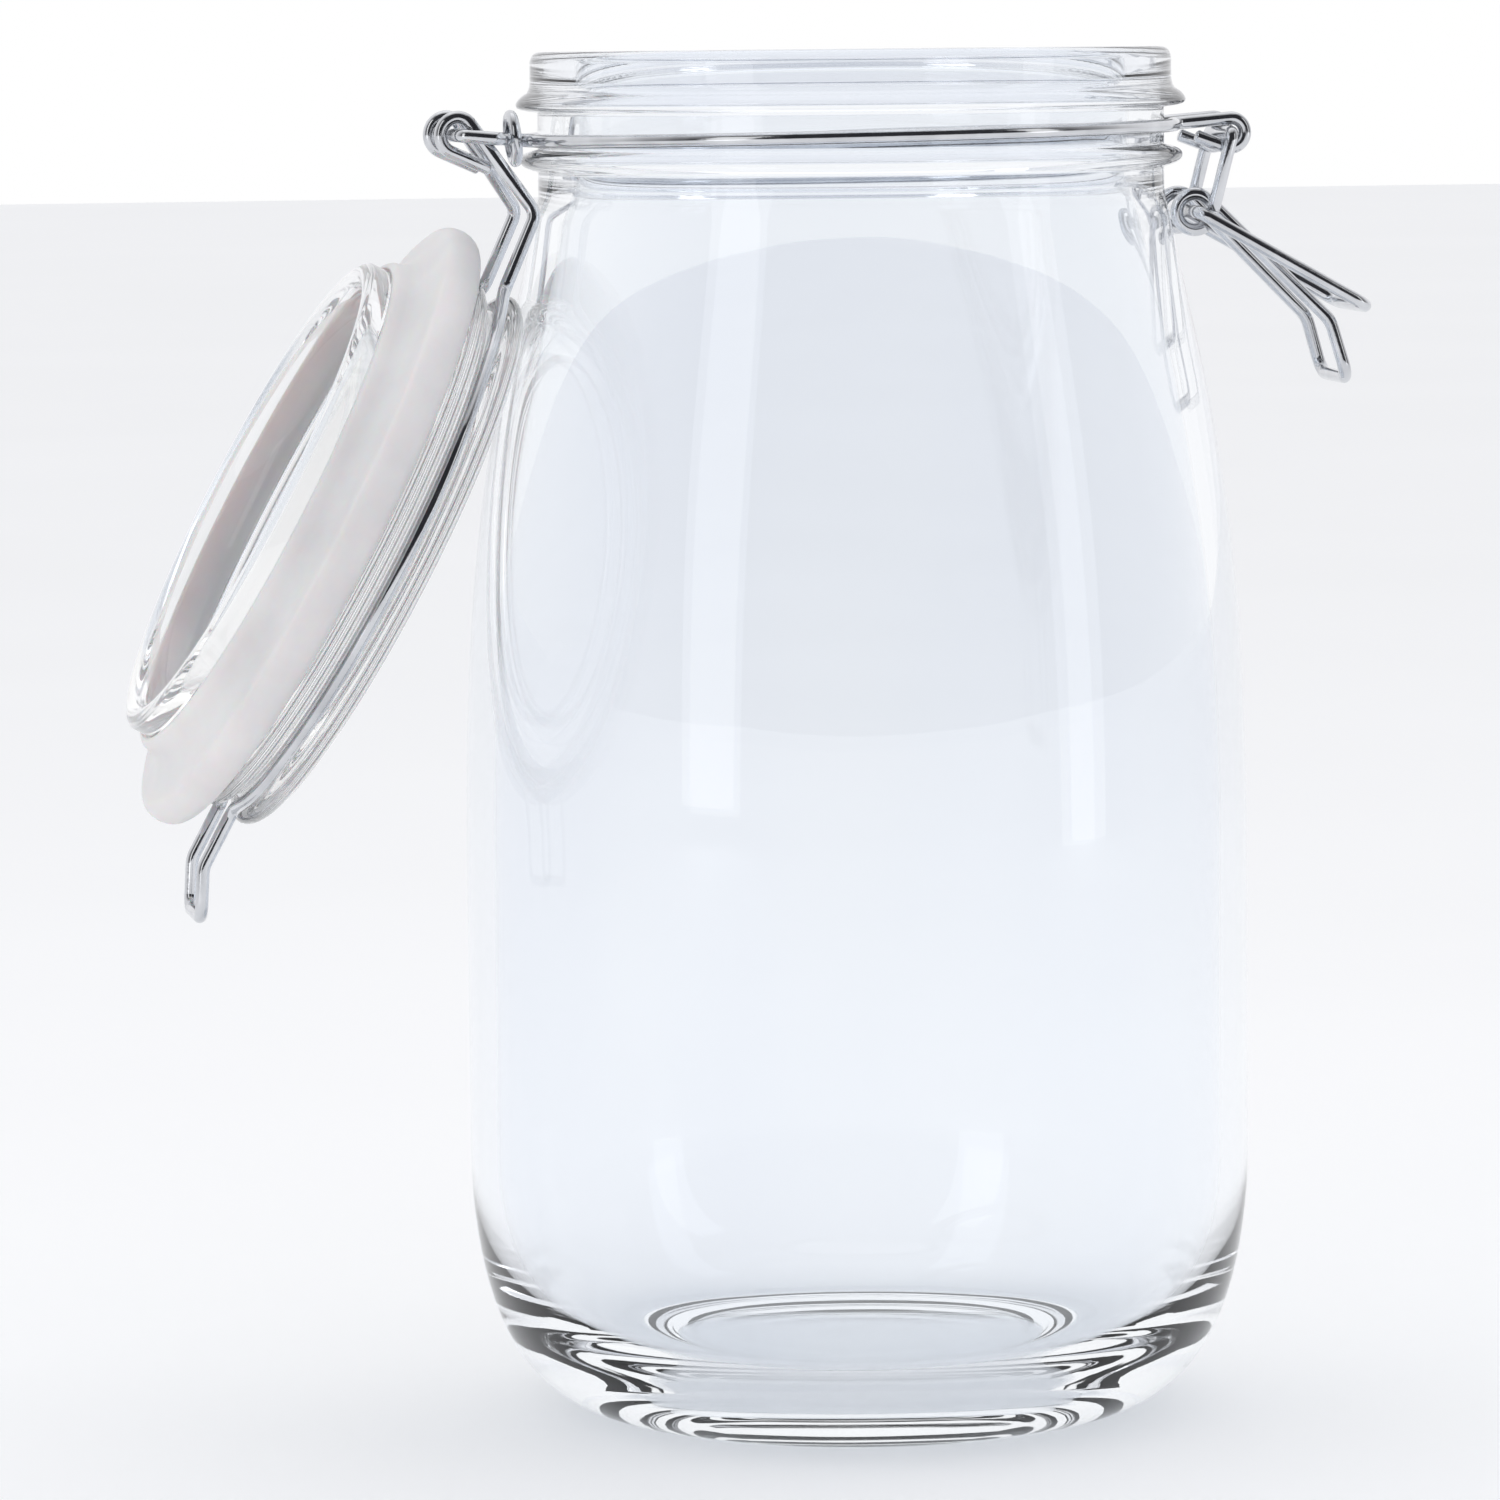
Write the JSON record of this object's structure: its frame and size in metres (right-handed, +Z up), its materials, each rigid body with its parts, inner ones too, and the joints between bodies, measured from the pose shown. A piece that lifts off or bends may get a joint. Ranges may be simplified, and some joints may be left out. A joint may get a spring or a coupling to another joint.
{
  "type": "bail clamp jar",
  "caption": "Tall round-shouldered glass storage jar standing open, its glass lid hung from a wire hinge, with a soft seal and a wire lever-and-bail latch.",
  "frame": {"origin": "the middle of the object's bounding box at its foot, with the lid and latch hanging open", "axes": "Z up along the jar's axis; X from the hinge side to the latch side; Y level, across the latch"},
  "size_m": [0.1914, 0.1194, 0.2075],
  "materials": {
    "jar_glass": "clear pressed glass, faintly blue at the edges",
    "lid_glass": "clear pressed glass, neutral",
    "seal": "translucent frosty white silicone",
    "wire": "bright plated steel wire"
  },
  "bodies": {
    "jar": {"jar": "jar_glass"},
    "collar": {"neck_wire": "wire", "tie_ring": "wire"},
    "lid": {"lid": "lid_glass", "gasket": "seal", "lid_wire": "wire"},
    "lever": {"lever": "wire", "hanger": "wire"},
    "bail": {"bail": "wire"}
  },
  "joints": [
    {"name": "collar_rock", "type": "hinge", "parent": "jar", "child": "collar", "pos_m": [0.06449, 0, 0.1957], "axis": [0, 1, 0], "range_deg": [0, 1.64]},
    {"name": "lid_hinge", "type": "hinge", "parent": "collar", "child": "lid", "pos_m": [-0.04531, 0, 0.1952], "axis": [0, 1, 0], "range_deg": [0, 239.9]},
    {"name": "lever_pivot", "type": "hinge", "parent": "collar", "child": "lever", "pos_m": [0.07369, 0, 0.1943], "axis": [-0.0698, -0.9976, 0], "range_deg": [0, 165]},
    {"name": "bail_pivot", "type": "hinge", "parent": "lever", "child": "bail", "pos_m": [0.0682, 0.00038, 0.1823], "axis": [-0.0698, -0.9976, 0], "range_deg": [-205, 0]}
  ],
  "couplings": [
    {"joint": "collar_rock", "follows": "lid_hinge", "ratio": 0.0068358},
    {"joint": "bail_pivot", "follows": "lever_pivot", "ratio": -1.2424}
  ]
}
